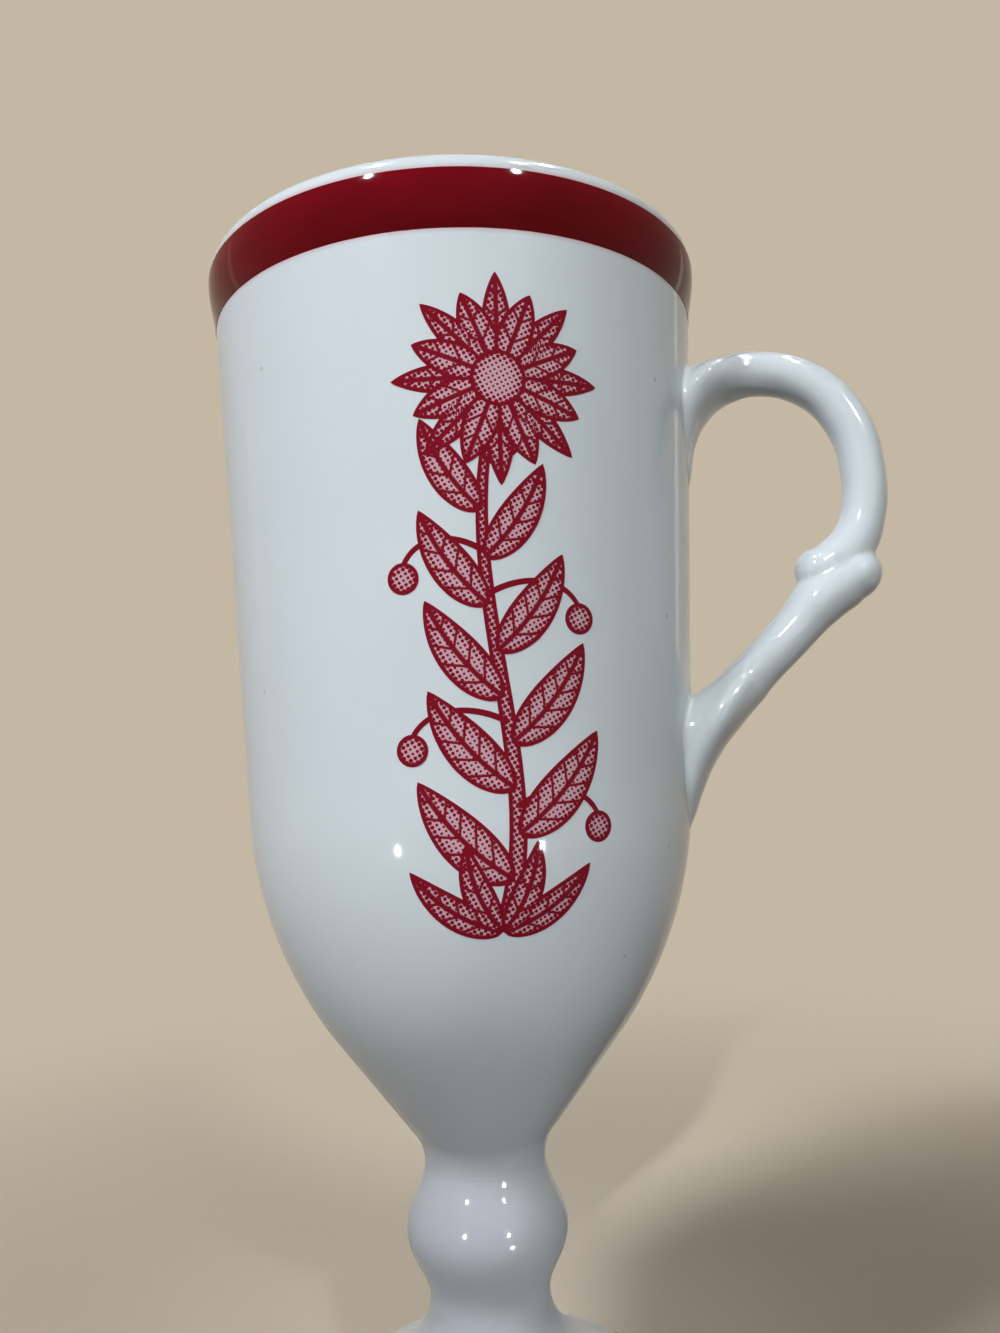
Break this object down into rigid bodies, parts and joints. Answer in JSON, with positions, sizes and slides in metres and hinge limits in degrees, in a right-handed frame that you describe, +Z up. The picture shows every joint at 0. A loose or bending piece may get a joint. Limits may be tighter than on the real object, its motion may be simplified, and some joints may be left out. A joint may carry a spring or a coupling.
{
  "type": "footed demitasse cup",
  "caption": "Tall footed porcelain cup with a tapering bowl on a knopped stem and round foot, a one-finger looped handle, a red band under the lip and a print on the front.",
  "frame": {"origin": "On the table, under the middle of the whole cup's box, handle included", "axes": "+Z up along the turned axis, +X from the bowl towards the handle, -Y towards the printed front"},
  "size_m": [0.0769, 0.0576, 0.1333],
  "materials": {
    "porcelain_bowl": "clear gloss glaze on white porcelain, with a few faint specks",
    "porcelain_pedestal": "clear gloss glaze on white porcelain",
    "porcelain_handle": "clear gloss glaze on white porcelain",
    "casting_slip": "fired white slip under the same glaze",
    "red_band": "glossy deep red enamel, a little uneven at its edges",
    "red_print": "red one-colour transfer print under gloss"
  },
  "bodies": {
    "root": {"bowl": "porcelain_bowl", "pedestal": "porcelain_pedestal", "handle": "porcelain_handle", "stem_slip": "casting_slip", "upper_handle_slip": "casting_slip", "lower_handle_slip": "casting_slip", "rim_band": "red_band", "front_print": "red_print"}
  },
  "joints": []
}
